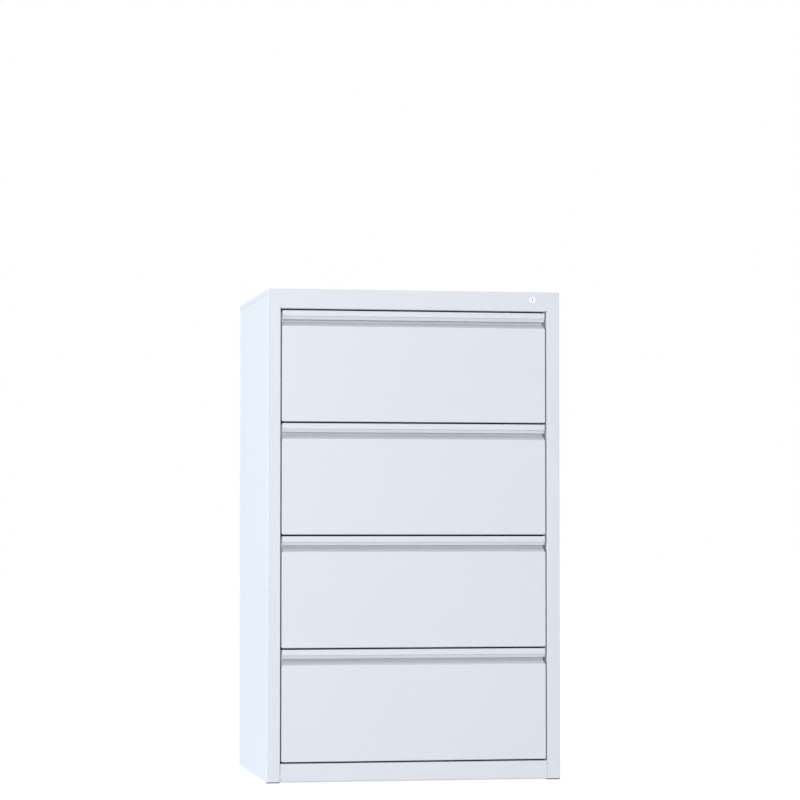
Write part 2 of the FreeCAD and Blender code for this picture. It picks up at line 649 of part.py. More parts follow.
def lock_bar_guides():
    """Staples on the front upright that keep the bar straight."""
    guides = []
    inner = (BAR_X - CLEARANCE, BAR_X + BAR_WIDTH + CLEARANCE)
    for number in range(1, DRAWERS + 1):
        low = hook_centre(number) + GUIDE_ABOVE_HOOK
        outside = block((inner[0] - GUIDE_WALL, inner[1] + GUIDE_WALL),
                        (BAR_SETBACK - CLEARANCE - GUIDE_WALL, FRONT_UPRIGHT_SETBACK),
                        (low, low + GUIDE_HEIGHT))
        passage = block(inner, (BAR_SETBACK - CLEARANCE, FRONT_UPRIGHT_SETBACK + SHEET),
                        (low - SHEET, low + GUIDE_HEIGHT + SHEET))
        guides.append(outside.cut(passage))
    return guides


def lock_catch(number):
    """Angle on a drawer's right side; a raised hook stands in front of its tongue."""
    centre = front_bottom(number) + CATCH_HEIGHT_UP
    span = (centre - CATCH_HEIGHT / 2, centre + CATCH_HEIGHT / 2)
    front = BAR_BACK + CATCH_GAP
    reach = STILE_X - CATCH_SIDE_GAP
    foot = block((TRAY_HALF, TRAY_HALF + CATCH_THICKNESS), (front, front + CATCH_FOOT), span)
    tongue = block((TRAY_HALF, reach), (front, front + CATCH_THICKNESS), span)
    return fuse([foot, tongue])


# ---- fasteners -----------------------------------------------------------------
def back_screws():
    """Low-headed screws through the rear returns and the back panel."""
    x = HALF_WIDTH - REAR_RETURN / 2
    run = RIM_BOTTOM - 2 * SCREW_END_MARGIN
    screws = []
    for k in range(SIDE_SCREWS):
        z = SCREW_END_MARGIN + k * run / (SIDE_SCREWS - 1)
        head = rod(x, z, SCREW_RADIUS, (DEPTH, DEPTH + SCREW_HEAD))
        shank = rod(x, z, SCREW_SHANK_RADIUS, (DEPTH - SCREW_SHANK, DEPTH))
        screws += pair(fuse([head, shank]))
    return screws


def screw_holes():
    """Holes for the back screws, a close fit on their shanks."""
    x = HALF_WIDTH - REAR_RETURN / 2
    run = RIM_BOTTOM - 2 * SCREW_END_MARGIN
    holes = [rod(x, SCREW_END_MARGIN + k * run / (SIDE_SCREWS - 1),
                 SCREW_SHANK_RADIUS + STEM_CLEARANCE, (BACK_FACE - SHEET, DEPTH + SHEET))
             for k in range(SIDE_SCREWS)]
    return Part.makeCompound([solid for hole in holes for solid in pair(hole)])


# ---- assembly ------------------------------------------------------------------
def cabinet_parts():
    """Everything that stands still."""
    right_side = side_panel().cut(screw_holes())
    front_upright = upright(FRONT_UPRIGHT_SETBACK)
    rear_upright = upright(BACK_FACE - REAR_UPRIGHT_SETBACK - UPRIGHT_DEPTH)
    return {
        "side_panel_right": right_side, "side_panel_left": mirrored(right_side),
        "top_panel": top_panel(), "top_rail": top_rail(), "plinth_rail": plinth_rail(),
        "back_panel": back_panel().cut(screw_holes()), "base_pan": base_pan(),
        "front_upright_right": front_upright, "front_upright_left": mirrored(front_upright),
        "rear_upright_right": rear_upright, "rear_upright_left": mirrored(rear_upright),
        "foot_brackets": foot_brackets(), "levelling_feet": levelling_feet(),
        "back_screws": back_screws(), "lock_bar_guides": lock_bar_guides(),
        "lock_housing": lock_housing(), "lock_nut": lock_nut(),
    }


def lock_parts():
    """The moving pieces of the lock."""
    return {"lock_core": lock_core(), "lock_cam": lock_cam(), "lock_bar": lock_bar()}


def drawer_parts(number):
    """One drawer and its slides."""
    makers = {"drawer_front": drawer_front, "front_liner": front_liner, "tray": tray,
              "tray_back": tray_back, "file_rails": file_rails, "buffers": buffers,
              "lock_catch": lock_catch, "slide_inner": slide_inner,
              "slide_middle": slide_middle, "slide_outer": slide_outer}
    return {f"{name}_{number}": maker(number) for name, maker in makers.items()}


def main():
    """Build every sub-part and write each to its own STEP file."""
    os.makedirs("parts", exist_ok=True)
    nodes = {**cabinet_parts(), **lock_parts()}
    for number in range(1, DRAWERS + 1):
        nodes.update(drawer_parts(number))
    for name, shape in nodes.items():
        whole = Part.makeCompound(shape) if isinstance(shape, list) else shape
        solids = len(whole.Solids)
        expected = len(shape) if isinstance(shape, list) else 1
        if not whole.isValid() or solids != expected:
            raise ValueError(f"{name}: {solids} solids for {expected}, valid {whole.isValid()}")
        (whole if expected > 1 else whole.Solids[0]).exportStep(f"parts/{name}.step")
    print(len(nodes), "nodes")


main()
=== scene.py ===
"""Looks of a four-drawer steel filing cabinet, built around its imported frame.

Every place comes from the frame's boxes; the sizes written here are those of folds, rims and
fittings, in metres. Depths are measured from the front plane towards the back.
"""

import logging
import math
from dataclasses import dataclass
from enum import Enum
from typing import Any, Callable, Iterable, Sequence

import bmesh
import bpy
from mathutils import Matrix, Vector


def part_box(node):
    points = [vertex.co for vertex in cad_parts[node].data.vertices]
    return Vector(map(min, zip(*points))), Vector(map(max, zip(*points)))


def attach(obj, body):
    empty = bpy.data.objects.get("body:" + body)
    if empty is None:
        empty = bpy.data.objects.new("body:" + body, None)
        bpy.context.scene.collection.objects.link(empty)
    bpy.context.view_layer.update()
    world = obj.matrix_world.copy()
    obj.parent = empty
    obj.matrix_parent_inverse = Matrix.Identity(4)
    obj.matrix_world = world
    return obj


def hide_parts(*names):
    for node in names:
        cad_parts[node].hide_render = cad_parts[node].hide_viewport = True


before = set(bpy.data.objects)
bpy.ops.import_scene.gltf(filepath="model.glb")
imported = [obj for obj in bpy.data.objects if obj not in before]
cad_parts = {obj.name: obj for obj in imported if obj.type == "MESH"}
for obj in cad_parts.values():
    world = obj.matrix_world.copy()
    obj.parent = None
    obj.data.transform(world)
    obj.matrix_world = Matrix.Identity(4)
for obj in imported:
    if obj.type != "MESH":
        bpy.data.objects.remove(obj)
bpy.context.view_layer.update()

MM = 0.001
SHEET = 1.0 * MM
DRAWERS = (1, 2, 3, 4)
CABINET = "cabinet"
SHARP_ANGLE = math.radians(38)
LOG = logging.getLogger("filing_cabinet")

Point2 = tuple[float, float]
Place = Callable[[float, float, float], Vector]


# ---- shader and geometry trees ---------------------------------------------------
class Signal:
    """A shader socket that takes part in Python expressions."""

    def __init__(self, graph: "MaterialGraph", socket: bpy.types.NodeSocket) -> None:
        """Wraps one output socket of a graph."""
        self.graph = graph
        self.socket = socket

    def _math(self, operation: str, first: Any, second: Any) -> "Signal":
        """One Math node on two values or signals."""
        node = self.graph.add("ShaderNodeMath", {"operation": operation}, {0: first, 1: second})
        return Signal(self.graph, node.outputs[0])

    def __add__(self, other: Any) -> "Signal":
        """Sum."""
        return self._math("ADD", self, other)

    def __sub__(self, other: Any) -> "Signal":
        """Difference."""
        return self._math("SUBTRACT", self, other)

    def __rsub__(self, other: Any) -> "Signal":
        """Difference from a number."""
        return self._math("SUBTRACT", other, self)

    def __mul__(self, other: Any) -> "Signal":
        """Product."""
        return self._math("MULTIPLY", self, other)

    __radd__ = __add__
    __rmul__ = __mul__


class MaterialGraph:
    """The node tree of one material, with its Principled shader."""

    def __init__(self, name: str) -> None:
        """Makes an empty material that ends in a Principled shader.

        Args:
            name: the material's name.
        """
        self.material = bpy.data.materials.new(name)
        self.material.use_nodes = True
        self.tree = self.material.node_tree
        self.tree.nodes.clear()
        self.shader = self.add("ShaderNodeBsdfPrincipled", {}, {})
        output = self.add("ShaderNodeOutputMaterial", {}, {})
        self.tree.links.new(self.shader.outputs[0], output.inputs["Surface"])

    def add(self, kind: str, settings: dict[str, Any], inputs: dict[Any, Any]) -> bpy.types.Node:
        """Adds one node.

        Args:
            kind: the node's type.
            settings: its properties, set before its sockets.
            inputs: a value or a signal for each named or numbered socket.

        Returns:
            The new node.
        """
        node = self.tree.nodes.new(kind)
        for key, value in settings.items():
            setattr(node, key, value)
        for key, value in inputs.items():
            self.feed(node.inputs[key], value)
        return node

    def feed(self, socket: bpy.types.NodeSocket, value: Any) -> None:
        """Sets a socket to a value, or links a signal to it."""
        if isinstance(value, Signal):
            self.tree.links.new(value.socket, socket)
        else:
            socket.default_value = value

    def set(self, **inputs: Any) -> None:
        """Sets the Principled shader's sockets; an underscore stands for a space."""
        for key, value in inputs.items():
            self.feed(self.shader.inputs[key.replace("_", " ")], value)

    def place(self, stretch: Sequence[float] = (1, 1, 1)) -> Signal:
        """Object coordinates, stretched along each axis."""
        source = self.add("ShaderNodeTexCoord", {}, {})
        mapping = self.add("ShaderNodeMapping", {},
                           {"Vector": Signal(self, source.outputs["Object"]), "Scale": stretch})
        return Signal(self, mapping.outputs[0])

    def noise(self, place: Signal, scale: float, detail: float = 2.0) -> Signal:
        """Noise pattern, from 0 to 1 about a half."""
        node = self.add("ShaderNodeTexNoise", {},
                        {"Vector": place, "Scale": scale, "Detail": detail})
        return Signal(self, node.outputs["Fac"])

    def blend(self, share: Signal, low: Sequence[float], high: Sequence[float]) -> Signal:
        """Colour between two, by a share."""
        node = self.add("ShaderNodeMix", {"data_type": "RGBA"}, {0: share, 6: low, 7: high})
        return Signal(self, node.outputs[2])

    def bump(self, height: Signal, depth: float, strength: float) -> Signal:
        """Surface relief of a depth in metres."""
        node = self.add("ShaderNodeBump", {},
                        {"Height": height, "Distance": depth, "Strength": strength})
        return Signal(self, node.outputs[0])


class GeometryRecipe:
    """A Geometry Nodes tree with named sizes, turned into a plain mesh."""

    def __init__(self, name: str) -> None:
        """Makes an empty tree with its input and output.

        Args:
            name: the tree's name.
        """
        self.tree = bpy.data.node_groups.new(name, "GeometryNodeTree")
        self.tree.is_modifier = True
        self.tree.interface.new_socket("Geometry", in_out="OUTPUT",
                                       socket_type="NodeSocketGeometry")
        self.values: dict[str, Any] = {}
        self.input = self.tree.nodes.new("NodeGroupInput")
        self.output = self.tree.nodes.new("NodeGroupOutput")

    def size(self, name: str, value: Any, kind: str = "NodeSocketFloat") -> bpy.types.NodeSocket:
        """Adds a named input.

        Args:
            name: what the size is.
            value: what this object has.
            kind: the socket's type.

        Returns:
            The socket that carries the size inside the tree.
        """
        item = self.tree.interface.new_socket(name, in_out="INPUT", socket_type=kind)
        self.values[item.identifier] = value
        return self.input.outputs[name]

    def add(self, kind: str, settings: dict[str, Any], inputs: dict[Any, Any]) -> Any:
        """Adds one node and feeds its sockets with values or links.

        Args:
            kind: the node's type.
            settings: its properties, set before its sockets.
            inputs: values or sockets by name or number.

        Returns:
            The node's first output.
        """
        node = self.tree.nodes.new(kind)
        for key, value in settings.items():
            setattr(node, key, value)
        for key, value in inputs.items():
            if isinstance(value, bpy.types.NodeSocket):
                self.tree.links.new(value, node.inputs[key])
            else:
                node.inputs[key].default_value = value
        return node.outputs[0]

    def join(self, *parts: Any) -> Any:
        """Several geometries as one."""
        node = self.tree.nodes.new("GeometryNodeJoinGeometry")
        for part in parts:
            self.tree.links.new(part, node.inputs[0])
        return node.outputs[0]

    def vector(self, x: Any = 0.0, y: Any = 0.0, z: Any = 0.0) -> Any:
        """A vector from three values or sockets."""
        return self.add("ShaderNodeCombineXYZ", {}, {0: x, 1: y, 2: z})

    def finish(self, geometry: Any, name: str, material: bpy.types.Material) -> bpy.types.Object:
        """Realizes the instances, sets the material and turns the result into a mesh.

        Args:
            geometry: the socket with the finished geometry.
            name: the piece's name.
            material: what it is finished with.

        Returns:
            The piece as a plain mesh object.
        """
        solid = self.add("GeometryNodeRealizeInstances", {}, {0: geometry})
        dressed = self.add("GeometryNodeSetMaterial", {}, {0: solid, "Material": material})
        self.tree.links.new(dressed, self.output.inputs[0])
        carrier = bpy.data.objects.new(name + "_carrier", bpy.data.meshes.new(name + "_carrier"))
        bpy.context.scene.collection.objects.link(carrier)
        modifier = carrier.modifiers.new("recipe", "NODES")
        modifier.node_group = self.tree
        for identifier, value in self.values.items():
            modifier[identifier] = value
        return freeze(carrier, name)


def freeze(carrier: bpy.types.Object, name: str) -> bpy.types.Object:
    """Turns an object with modifiers into a plain mesh object.

    Args:
        carrier: the object, which is removed.
        name: the finished piece's name.

    Returns:
        The finished piece.
    """
    graph = bpy.context.evaluated_depsgraph_get()
    graph.update()
    mesh = bpy.data.meshes.new_from_object(carrier.evaluated_get(graph),
                                           preserve_all_data_layers=True, depsgraph=graph)
    mesh.name = name
    source = carrier.data
    bpy.data.objects.remove(carrier)
    bpy.data.meshes.remove(source)
    piece = bpy.data.objects.new(name, mesh)
    bpy.context.scene.collection.objects.link(piece)
    return piece


# ---- finishes --------------------------------------------------------------------
class Slot(Enum):
    """The record's material slots."""

    PAINT = "white_paint"
    ZINC = "zinc_steel"
    SLIDE = "slide_steel"
    PLASTIC = "black_plastic"
    RUBBER = "black_rubber"
    LOCK_FACE = "lock_face"
    LOCK_CORE = "lock_core"


@dataclass(frozen=True)
class PowderCoat:
    """Satin powder coat: a faint orange peel and hardly visible drifts of tone."""

    name: str
    light: tuple[float, float, float]
    deep: tuple[float, float, float]
    roughness: float = 0.42
    peel_scale: float = 520.0
    peel_depth: float = 0.04 * MM
    drift_scale: float = 2.6

    def make(self) -> bpy.types.Material:
        """Builds the material."""
        graph = MaterialGraph(self.name)
        place = graph.place()
        drift = graph.noise(place, self.drift_scale, 3.0)
        fine = graph.noise(place, self.peel_scale, 2.0)
        grit = graph.noise(place, self.peel_scale * 5, 1.0)
        tone = drift * 0.8 + fine * 0.2
        graph.set(Base_Color=graph.blend(tone, (*self.deep, 1), (*self.light, 1)),
                  Roughness=drift * 0.10 + grit * 0.08 + (self.roughness - 0.09),
                  Normal=graph.bump(fine * 0.85 + grit * 0.15, self.peel_depth, 0.35))
        return graph.material


@dataclass(frozen=True)
class PlatedSteel:
    """Zinc-plated steel: rolling marks along one axis and soft patches of tone."""

    name: str
    light: tuple[float, float, float]
    deep: tuple[float, float, float]
    stretch: tuple[float, float, float]
    roughness: float = 0.34

    def make(self) -> bpy.types.Material:
        """Builds the material."""
        graph = MaterialGraph(self.name)
        rolled = graph.noise(graph.place(self.stretch), 900.0, 3.0)
        patches = graph.noise(graph.place(), 34.0, 4.0)
        tone = rolled * 0.45 + patches * 0.55
        graph.set(Base_Color=graph.blend(tone, (*self.deep, 1), (*self.light, 1)), Metallic=1.0,
                  Roughness=rolled * 0.14 + patches * 0.16 + (self.roughness - 0.15),
                  Normal=graph.bump(rolled, 0.02 * MM, 0.3))
        return graph.material


@dataclass(frozen=True)
class Moulded:
    """Moulded plastic or rubber with a fine spark-eroded grain."""

    name: str
    colour: tuple[float, float, float]
    roughness: float
    grain: float = 1400.0

    def make(self) -> bpy.types.Material:
        """Builds the material."""
        graph = MaterialGraph(self.name)
        grain = graph.noise(graph.place(), self.grain, 2.0)
        cloud = graph.noise(graph.place(), 60.0, 2.0)
        low = tuple(0.8 * part for part in self.colour)
        graph.set(Base_Color=graph.blend(cloud, (*low, 1), (*self.colour, 1)),
                  Roughness=grain * 0.12 + cloud * 0.06 + (self.roughness - 0.09),
                  Normal=graph.bump(grain, 0.03 * MM, 0.4))
        return graph.material


class FinishRack:
    """Every finish of the cabinet, made once."""

    def __init__(self) -> None:
        """Builds the materials."""
        self.by_slot: dict[Slot, bpy.types.Material] = {
            Slot.PAINT: PowderCoat("cool_white_powder_coat", (0.800, 0.832, 0.900),
                                   (0.780, 0.813, 0.882)).make(),
            Slot.ZINC: PlatedSteel("zinc_plated_steel", (0.66, 0.67, 0.69), (0.50, 0.51, 0.53),
                                   (1, 1, 0.04)).make(),
            Slot.SLIDE: PlatedSteel("bright_slide_steel", (0.70, 0.71, 0.73),
                                    (0.52, 0.53, 0.55), (1, 0.03, 1), 0.28).make(),
            Slot.PLASTIC: Moulded("black_glide_plastic", (0.022, 0.022, 0.024), 0.5).make(),
            Slot.RUBBER: Moulded("black_buffer_rubber", (0.016, 0.016, 0.016), 0.75,
                                 900.0).make(),
            Slot.LOCK_FACE: PowderCoat("lock_face_enamel", (0.96, 0.98, 0.99),
                                       (0.94, 0.96, 0.97), 0.24, 900.0, 0.01 * MM).make(),
            Slot.LOCK_CORE: PlatedSteel("nickel_lock_core", (0.95, 0.95, 0.94),
                                        (0.88, 0.88, 0.87), (1, 1, 1), 0.26).make(),
        }

    def dress_node(self, name: str, slot: Slot) -> None:
        """Gives a carried-over node its finish."""
        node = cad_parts[name]
        if not node.material_slots:
            node.data.materials.append(None)
        for holder in node.material_slots:
            holder.material = self.by_slot[slot]
        LOG.info("node %s: %s", name, slot.value)

    def hand_over(self, piece: bpy.types.Object, body: str, slot: Slot,
                  replaces: Sequence[str] = ()) -> bpy.types.Object:
        """Dresses a finished piece and puts it on its body.

        Args:
            piece: the finished mesh object.
            body: the body that it moves with.
            slot: the finish that it takes.
            replaces: the nodes that it stands for.

        Returns:
            The same piece.
        """
        piece.data.materials.clear()
        piece.data.materials.append(self.by_slot[slot])
        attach(piece, body)
        if replaces:
            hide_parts(*replaces)
        LOG.info("piece %s on %s: %d faces", piece.name, body, len(piece.data.polygons))
        return piece


# ---- sheet-metal meshes ----------------------------------------------------------
def rounded_path(corners: Sequence[Point2], radius: float | Sequence[float],
                 steps: int = 5) -> list[Point2]:
    """A path with an arc at each inner corner.

    Args:
        corners: the path's ends and corners.
        radius: the arcs' radius, or one for each inner corner.
        steps: stretches in each arc.

    Returns:
        The points of the rounded path.
    """
    radii = [radius] * (len(corners) - 2) if isinstance(radius, float) else radius
    points = [Vector(corners[0])]
    for before, corner, after, bend in zip(corners, corners[1:], corners[2:], radii):
        corner = Vector(corner)
        inward = (corner - Vector(before)).normalized()
        outward = (Vector(after) - corner).normalized()
        turn = inward.angle_signed(outward)
        tangent = bend * math.tan(abs(turn) / 2)
        side = -math.copysign(1.0, turn)
        centre = corner - inward * tangent + Vector((-inward.y, inward.x)) * side * bend
        start = corner - inward * tangent - centre
        for k in range(steps + 1):
            angle = -turn * k / steps
            points.append(centre + Matrix.Rotation(angle, 2) @ start)
    points.append(Vector(corners[-1]))
    return [(p.x, p.y) for p in points]


class SheetBuilder:
    """Collects the faces of one sheet-metal piece and finishes it."""

    def __init__(self, name: str) -> None:
        """Starts an empty piece.

        Args:
            name: the piece's name.
        """
        self.name = name
        self.mesh = bmesh.new()

    def strip(self, path: Sequence[Point2], place: Place,
              spans: Sequence[Point2]) -> "SheetBuilder":
        """Adds a sheet that follows a path.

        Args:
            path: the path's points, seen along the sheet.
            place: turns a path point and a distance along the sheet into a position.
            spans: where the sheet starts and ends at each of the path's points.
        """
        rows = [[self.mesh.verts.new(place(a, b, end)) for end in span]
                for (a, b), span in zip(path, spans)]
        for low, high in zip(rows, rows[1:]):
            self.mesh.faces.new((low[0], high[0], high[1], low[1]))
        return self

    def grid(self, path: Sequence[Point2], levels: Sequence[float], place: Place,
             keep: Callable[[Point2, float], bool]) -> "SheetBuilder":
        """Adds a sheet that follows a path, with parts of it left out.

        Args:
            path: the path's points, seen along the sheet.
            levels: the distances along the sheet where its outline steps.
            place: turns a path point and a distance into a position.
            keep: whether the face at a path point and a distance is there.
        """
        rows = [[self.mesh.verts.new(place(a, b, level)) for level in levels] for a, b in path]
        for i, (low, high) in enumerate(zip(rows, rows[1:])):
            middle = ((path[i][0] + path[i + 1][0]) / 2, (path[i][1] + path[i + 1][1]) / 2)
            for k in range(len(levels) - 1):
                if keep(middle, (levels[k] + levels[k + 1]) / 2):
                    self.mesh.faces.new((low[k], high[k], high[k + 1], low[k + 1]))
        loose = [vert for vert in self.mesh.verts if not vert.link_faces]
        bmesh.ops.delete(self.mesh, geom=loose, context="VERTS")
        return self

    def pan(self, face_half: float, reach: float, corner: float, roll: float, depth: float,
            place: Place, steps: int = 5) -> list[Vector]:
        """Adds a pressed pan: a face with a rolled edge and walls on three of its sides.

        Args:
            face_half: half of the face's width.
            reach: from the open side of the face to the wall opposite.
            corner: radius of the two corners at that wall.
            roll: radius of the rolled edge.
            depth: how far the walls reach back.
            place: turns a width, a reach and a depth into a position.
            steps: stretches in each arc.

        Returns:
            The ends of the open side of the face.
        """
        loops = []
        quarter = math.pi / 2
        rings = [(0.0, depth)] + [(roll * (1 - math.cos(quarter * k / steps)),
                                   roll * (1 - math.sin(quarter * k / steps)))
                                  for k in range(steps + 1)]
        for inset, back in rings:
            radius = corner - inset
            outline = [(-face_half + inset, 0.0)]
            for k in range(steps + 1):
                angle = quarter * k / steps
                outline.append((-face_half + corner - radius * math.cos(angle),
                                reach - corner + radius * math.sin(angle)))
            outline += [(-x, y) for x, y in reversed(outline)]
            loops.append([self.mesh.verts.new(place(x, y, back)) for x, y in outline])
        for outer, inner in zip(loops, loops[1:]):
            for k in range(len(outer) - 1):
                self.mesh.faces.new((outer[k], outer[k + 1], inner[k + 1], inner[k]))
        self.mesh.faces.new(loops[-1])
        return [loops[-1][0].co.copy(), loops[-1][-1].co.copy()]

    def done(self, offset: float = 0.0, thickness: float = SHEET,
             edge: float = 0.25 * MM) -> bpy.types.Object:
        """Gives the sheet its thickness and broken edges.

        Args:
            offset: 0 when the faces are the sheet's middle, -1 when they are its outside.
            thickness: the sheet's thickness.
            edge: how far its cut edges are broken.

        Returns:
            The finished mesh object.
        """
        bmesh.ops.remove_doubles(self.mesh, verts=self.mesh.verts, dist=0.005 * MM)
        bmesh.ops.recalc_face_normals(self.mesh, faces=self.mesh.faces)
        data = bpy.data.meshes.new(self.name)
        self.mesh.to_mesh(data)
        self.mesh.free()
        carrier = bpy.data.objects.new(self.name + "_carrier", data)
        bpy.context.scene.collection.objects.link(carrier)
        wall = carrier.modifiers.new("wall", "SOLIDIFY")
        wall.thickness = thickness
        wall.offset = offset
        wall.use_even_offset = True
        broken = carrier.modifiers.new("broken edges", "BEVEL")
        broken.width = edge
        broken.segments = 2
        broken.limit_method = "ANGLE"
        broken.angle_limit = math.radians(50)
        piece = freeze(carrier, self.name)
        return smooth(piece)


def smooth(piece: bpy.types.Object) -> bpy.types.Object:
    """Shades a piece smooth between its sharp edges, weighted by face area."""
    data = piece.data
    data.polygons.foreach_set("use_smooth", [True] * len(data.polygons))
    data.set_sharp_from_angle(angle=SHARP_ANGLE)
    weighted = piece.modifiers.new("weighted normals", "WEIGHTED_NORMAL")
    weighted.keep_sharp = True
    name = piece.name
    piece.name = name + "_unweighted"
    return freeze(piece, name)


def lathe(name: str, profile: Sequence[Point2], centre: Vector, axis: Vector,
          segments: int = 64) -> bpy.types.Object:
    """A turned piece.

    Args:
        name: the piece's name.
        profile: radius and distance along the axis; it starts and ends on the axis, or closes.
        centre: where the axis starts.
        axis: the axis's direction.
        segments: faces round the piece.

    Returns:
        The finished mesh object.
    """
    mesh = bmesh.new()
    turn = Vector((0, 0, 1)).rotation_difference(axis).to_matrix()
    rings = []
    for radius, along in profile:
        ring = []
        for k in range(segments):
            angle = 2 * math.pi * k / segments
            local = Vector((radius * math.cos(angle), radius * math.sin(angle), along))
            ring.append(mesh.verts.new(centre + turn @ local))
        rings.append(ring)
    pairs = list(zip(rings, rings[1:]))
    if profile[0][0] > 0:
        pairs.append((rings[-1], rings[0]))
    for low, high in pairs:
        for k in range(segments):
            j = (k + 1) % segments
            mesh.faces.new((low[k], low[j], high[j], high[k]))
    bmesh.ops.remove_doubles(mesh, verts=mesh.verts, dist=0.002 * MM)
    bmesh.ops.recalc_face_normals(mesh, faces=mesh.faces)
    data = bpy.data.meshes.new(name)
    mesh.to_mesh(data)
    mesh.free()
    piece = bpy.data.objects.new(name, data)
    bpy.context.scene.collection.objects.link(piece)
    return smooth(piece)


def moulded_block(name: str, boxes: Sequence[tuple[Vector, Vector]],
                  edge: float) -> bpy.types.Object:
    """Boxes with rounded edges, as one piece.

    Args:
        name: the piece's name.
        boxes: the lowest and highest corner of each box.
        edge: the radius of the edges.

    Returns:
        The finished mesh object.
    """
    mesh = bmesh.new()
    for low, high in boxes:
        place = Matrix.Translation((low + high) / 2) @ Matrix.Diagonal((*(high - low), 1))
        bmesh.ops.create_cube(mesh, size=1.0, matrix=place)
    bmesh.ops.bevel(mesh, geom=mesh.edges[:], offset=edge, segments=3, profile=0.5,
                    affect="EDGES")
    bmesh.ops.recalc_face_normals(mesh, faces=mesh.faces)
    data = bpy.data.meshes.new(name)
    mesh.to_mesh(data)
    mesh.free()
    piece = bpy.data.objects.new(name, data)
    bpy.context.scene.collection.objects.link(piece)
    return smooth(piece)


